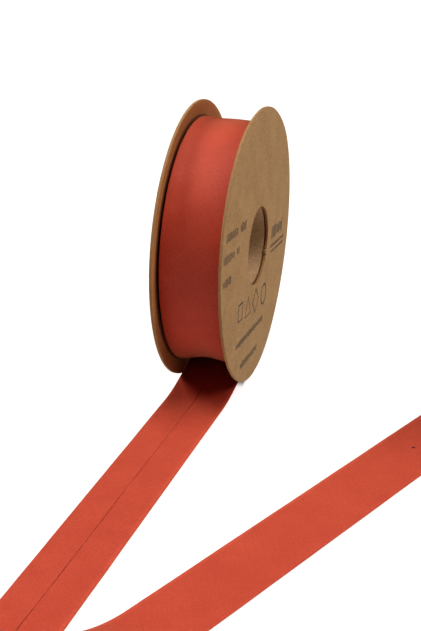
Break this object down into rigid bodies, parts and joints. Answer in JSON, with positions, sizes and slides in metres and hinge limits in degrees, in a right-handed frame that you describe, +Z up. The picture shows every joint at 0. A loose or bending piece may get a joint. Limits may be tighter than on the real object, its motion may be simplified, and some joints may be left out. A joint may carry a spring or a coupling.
{
  "type": "reel of folded bias binding",
  "caption": "Card reel of folded woven bias binding standing on edge, its loose end laid flat and turned over in a soft loop.",
  "frame": {"origin": "middle of the footprint's box, on the surface that the reel and its loose end rest on", "axes": "+X along the reel's axis towards the disc beside the second run of tape, +Z up, +Y from the turned-over loop towards the reel"},
  "size_m": [0.114, 0.2618, 0.0921],
  "materials": {
    "card": "uncoated brown kraft board, matt",
    "tube_card": "wound brown card tube, matt",
    "cloth": "plain-weave cotton blend cut on the bias, folded and pressed, matt"
  },
  "bodies": {
    "root": {"flange_left": "card", "flange_right": "card", "core_tube": "tube_card", "tape_roll": "cloth", "loose_end": "cloth"}
  },
  "joints": []
}
